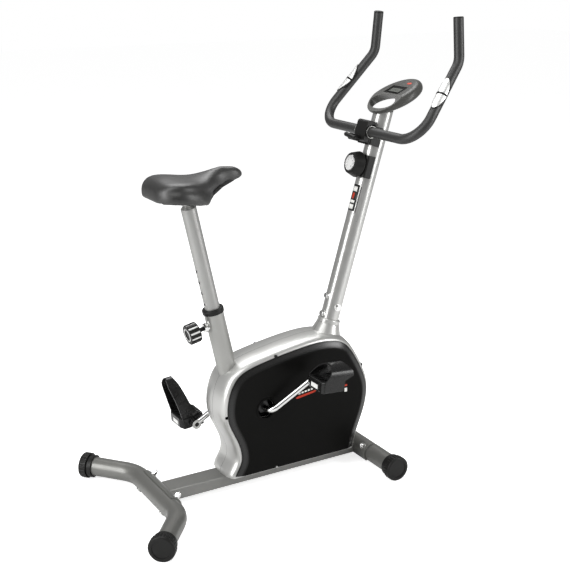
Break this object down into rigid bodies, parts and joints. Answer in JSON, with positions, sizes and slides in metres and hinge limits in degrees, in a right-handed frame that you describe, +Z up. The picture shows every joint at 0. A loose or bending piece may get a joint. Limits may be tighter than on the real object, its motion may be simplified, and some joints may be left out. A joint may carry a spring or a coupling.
{
  "type": "exercise bike",
  "caption": "Upright magnetic exercise bike with an adjustable saddle, tall bent handlebar, oval console, enclosed drive and strapped pedals.",
  "frame": {"origin": "on the floor under the middle of the bike's bounding box", "axes": "+X forward from saddle to handlebar, +Y to the rider's left, +Z up"},
  "size_m": [0.9078, 0.5436, 1.1966],
  "materials": {
    "frame_grey": "metallic grey powder coat",
    "mast_silver": "satin silver paint",
    "post_silver": "satin silver paint",
    "housing_silver": "silver painted plastic",
    "cover_black": "satin black plastic",
    "cap_black": "matt black plastic",
    "button_grey": "grey button",
    "display_glass": "clear window over a grey-green display",
    "dial_silver": "brushed dial plate",
    "chrome": "polished chrome",
    "zinc": "zinc plated steel",
    "screw_black": "black screws",
    "foam": "dense black foam",
    "bar_black": "black powder coat",
    "saddle_vinyl": "smooth black vinyl over foam",
    "pedal_black": "black nylon",
    "strap_rubber": "black rubber",
    "reflector": "white reflector",
    "pulley_black": "black nylon pulley",
    "flywheel_iron": "cast iron"
  },
  "bodies": {
    "frame": {"base_beam": "frame_grey", "seat_tube": "frame_grey", "bb_shell": "frame_grey", "front_stub": "frame_grey", "axle_barrel": "frame_grey", "axle_bearings": "zinc", "magnet_pin": "frame_grey", "rear_bracket": "frame_grey", "front_bracket": "frame_grey", "rear_stabilizer": "frame_grey", "front_stabilizer": "frame_grey", "caps_rear": "cap_black", "caps_front": "cap_black", "stabilizer_bolts": "zinc", "stabilizer_nuts": "chrome", "housing_left": "housing_silver", "housing_right": "housing_silver", "cover_left": "cover_black", "cover_right": "cover_black", "cover_screws": "screw_black", "mast": "mast_silver", "mast_foot_ring": "cap_black", "mast_bolts": "zinc", "crank_cups": "zinc", "drive_belt": "strap_rubber", "seat_collar": "cap_black", "knob_boss": "frame_grey", "knob_base": "cap_black", "bar_saddle": "frame_grey", "clamp_cap": "cap_black", "console_base": "cap_black", "console_shell": "cap_black", "console_display": "display_glass"},
    "console_key": {"console_button": "button_grey"},
    "clamp_handle": {"clamp_knob": "cap_black"},
    "bar": {"handlebar": "bar_black", "grip_right": "foam", "grip_left": "foam", "grip_plugs": "cap_black", "pulse_holders": "cap_black", "pulse_plates": "chrome"},
    "tension": {"tension_knob": "cap_black", "tension_dial": "dial_silver"},
    "saddle": {"seat_post": "post_silver", "saddle_clamp": "zinc", "saddle_base": "cap_black", "saddle_pad": "saddle_vinyl"},
    "saddle_pin": {"adjust_knob": "cap_black"},
    "crankset": {"crank": "chrome", "crank_cones": "zinc", "drive_pulley": "pulley_black"},
    "right_pedal": {"pedal_right": "pedal_black", "strap_right": "strap_rubber", "reflectors_right": "reflector"},
    "left_pedal": {"pedal_left": "pedal_black", "strap_left": "strap_rubber", "reflectors_left": "reflector"},
    "wheel": {"flywheel": "flywheel_iron", "flywheel_axle": "zinc"},
    "magnet": {"magnet_bracket": "zinc"}
  },
  "joints": [
    {"name": "flywheel_spin", "type": "hinge", "parent": "frame", "child": "wheel", "pos_m": [0.12068, 0, 0.195], "axis": [0, 1, 0], "continuous": true},
    {"name": "crank_spin", "type": "hinge", "parent": "frame", "child": "crankset", "pos_m": [-0.044, 0, 0.2275], "axis": [0, 1, 0], "continuous": true},
    {"name": "right_pedal_spin", "type": "hinge", "parent": "crankset", "child": "right_pedal", "pos_m": [0.07761, -0.104, 0.30647], "axis": [0, 1, 0], "continuous": true},
    {"name": "left_pedal_spin", "type": "hinge", "parent": "crankset", "child": "left_pedal", "pos_m": [-0.16561, 0.104, 0.14853], "axis": [0, 1, 0], "continuous": true},
    {"name": "saddle_height", "type": "slide", "parent": "frame", "child": "saddle", "axis": [-0.2181, 0, 0.9759], "range_m": [-0.09, 0.06]},
    {"name": "saddle_pin_pull", "type": "slide", "parent": "frame", "child": "saddle_pin", "axis": [-0.9759, 0, -0.2181], "range_m": [0, 0.01], "stiffness_N_per_m": 800, "springref_m": -0.01},
    {"name": "bar_tilt", "type": "hinge", "parent": "frame", "child": "bar", "pos_m": [0.29, 0, 0.906], "axis": [0, 1, 0], "range_deg": [-25, 25]},
    {"name": "clamp_turn", "type": "hinge", "parent": "frame", "child": "clamp_handle", "pos_m": [0.28377, 0, 0.8849], "axis": [-0.9591, 0, 0.2832], "range_deg": [-180, 180]},
    {"name": "tension_turn", "type": "hinge", "parent": "frame", "child": "tension", "pos_m": [0.30241, 0, 0.8105], "axis": [-0.9591, 0, 0.2832], "range_deg": [0, 270]},
    {"name": "magnet_swing", "type": "hinge", "parent": "frame", "child": "magnet", "pos_m": [0.16023, -0.041, 0.31673], "axis": [0, 1, 0], "range_deg": [-7, 1]},
    {"name": "console_key_press", "type": "slide", "parent": "frame", "child": "console_key", "axis": [0.4067, 0, -0.9135], "range_m": [0, 0.001], "stiffness_N_per_m": 400, "springref_m": -0.0005}
  ],
  "couplings": [
    {"joint": "crank_spin", "follows": "flywheel_spin", "ratio": 0.19075},
    {"joint": "magnet_swing", "follows": "tension_turn", "ratio": -0.022222}
  ]
}
